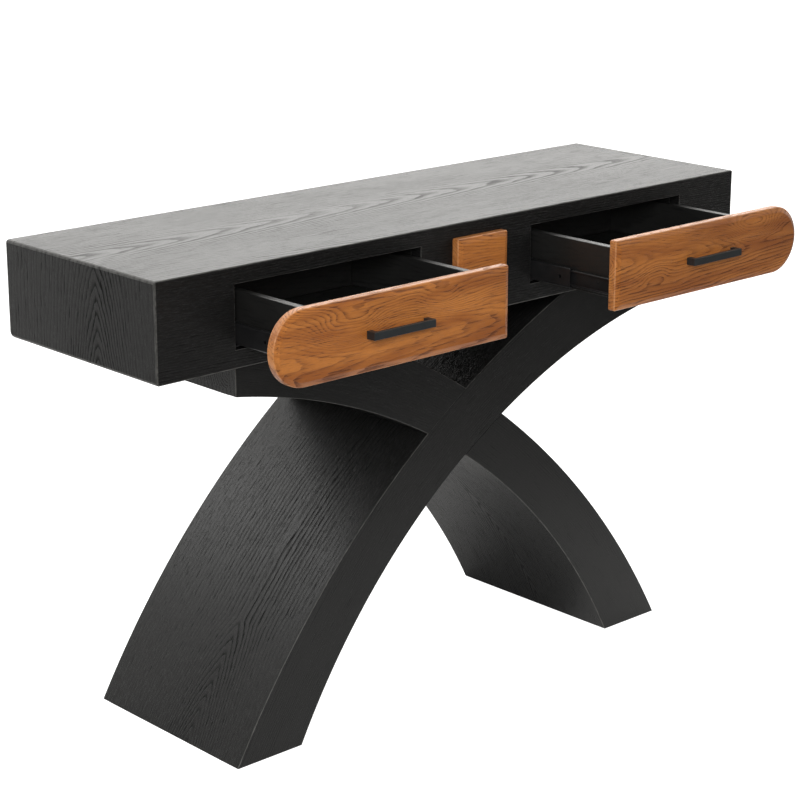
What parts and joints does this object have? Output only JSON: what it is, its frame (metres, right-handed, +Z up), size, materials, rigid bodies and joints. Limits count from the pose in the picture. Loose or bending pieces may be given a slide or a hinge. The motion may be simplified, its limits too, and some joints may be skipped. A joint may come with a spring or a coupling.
{
  "type": "console table",
  "caption": "Long narrow console table with a flat case on two arched legs that cross as an X, and wood-fronted drawers on ball-bearing slides.",
  "frame": {"origin": "on the floor, under the middle of the table's box with both drawers part-way out", "axes": "+X to the table's right as seen from its front, +Y from the face to the back, +Z up"},
  "size_m": [1.2, 0.557, 0.76],
  "materials": {
    "black_wood": "satin black stain on open-grained oak veneer",
    "oak": "satin varnish on warm brown oak",
    "box_black": "satin black lacquer",
    "slide_steel": "black electrophoretic coat",
    "handle_metal": "matte black powder coat",
    "zinc": "zinc plated",
    "raw_wood": "unfinished birch"
  },
  "bodies": {
    "case": {"top_panel": "black_wood", "bottom_panel": "black_wood", "left_end_panel": "black_wood", "right_end_panel": "black_wood", "back_panel": "black_wood", "face_top_rail": "black_wood", "face_bottom_rail": "black_wood", "face_left_stile": "black_wood", "face_centre_stile": "black_wood", "face_right_stile": "black_wood", "left_outer_partition": "black_wood", "left_inner_partition": "black_wood", "right_inner_partition": "black_wood", "right_outer_partition": "black_wood", "centre_tab": "oak", "left_outer_slide_case_rail": "slide_steel", "left_inner_slide_case_rail": "slide_steel", "right_outer_slide_case_rail": "slide_steel", "right_inner_slide_case_rail": "slide_steel", "through_leg_front_cheek": "black_wood", "through_leg_back_cheek": "black_wood", "through_leg_outer_skin": "black_wood", "through_leg_inner_skin": "black_wood", "lower_arm_front_cheek": "black_wood", "lower_arm_back_cheek": "black_wood", "lower_arm_outer_skin": "black_wood", "lower_arm_inner_skin": "black_wood", "upper_arm_front_cheek": "black_wood", "upper_arm_back_cheek": "black_wood", "upper_arm_outer_skin": "black_wood", "upper_arm_inner_skin": "black_wood", "foot_blocks": "raw_wood", "top_blocks": "raw_wood", "crossing_block": "raw_wood", "leg_bolts": "zinc", "crossing_dowels": "raw_wood"},
    "left_drawer": {"left_drawer_front": "oak", "left_box_front": "box_black", "left_box_back": "box_black", "left_box_outer_side": "box_black", "left_box_inner_side": "box_black", "left_box_bottom": "box_black", "left_handle": "handle_metal", "left_handle_screws": "zinc", "left_outer_slide_box_rail": "slide_steel", "left_inner_slide_box_rail": "slide_steel"},
    "left_outer_slide_middle": {"left_outer_slide_middle": "slide_steel"},
    "left_inner_slide_middle": {"left_inner_slide_middle": "slide_steel"},
    "right_drawer": {"right_drawer_front": "oak", "right_box_front": "box_black", "right_box_back": "box_black", "right_box_outer_side": "box_black", "right_box_inner_side": "box_black", "right_box_bottom": "box_black", "right_handle": "handle_metal", "right_handle_screws": "zinc", "right_outer_slide_box_rail": "slide_steel", "right_inner_slide_box_rail": "slide_steel"},
    "right_outer_slide_middle": {"right_outer_slide_middle": "slide_steel"},
    "right_inner_slide_middle": {"right_inner_slide_middle": "slide_steel"}
  },
  "joints": [
    {"name": "left_drawer_slide", "type": "slide", "parent": "case", "child": "left_drawer", "axis": [0, -1, 0], "range_m": [-0.164, 0.125]},
    {"name": "left_outer_middle_slide", "type": "slide", "parent": "case", "child": "left_outer_slide_middle", "axis": [0, -1, 0], "range_m": [-0.082, 0.0625]},
    {"name": "left_inner_middle_slide", "type": "slide", "parent": "case", "child": "left_inner_slide_middle", "axis": [0, -1, 0], "range_m": [-0.082, 0.0625]},
    {"name": "right_drawer_slide", "type": "slide", "parent": "case", "child": "right_drawer", "axis": [0, -1, 0], "range_m": [-0.164, 0.125]},
    {"name": "right_outer_middle_slide", "type": "slide", "parent": "case", "child": "right_outer_slide_middle", "axis": [0, -1, 0], "range_m": [-0.082, 0.0625]},
    {"name": "right_inner_middle_slide", "type": "slide", "parent": "case", "child": "right_inner_slide_middle", "axis": [0, -1, 0], "range_m": [-0.082, 0.0625]}
  ],
  "couplings": [
    {"joint": "left_outer_middle_slide", "follows": "left_drawer_slide", "ratio": 0.5},
    {"joint": "left_inner_middle_slide", "follows": "left_drawer_slide", "ratio": 0.5},
    {"joint": "right_outer_middle_slide", "follows": "right_drawer_slide", "ratio": 0.5},
    {"joint": "right_inner_middle_slide", "follows": "right_drawer_slide", "ratio": 0.5}
  ]
}
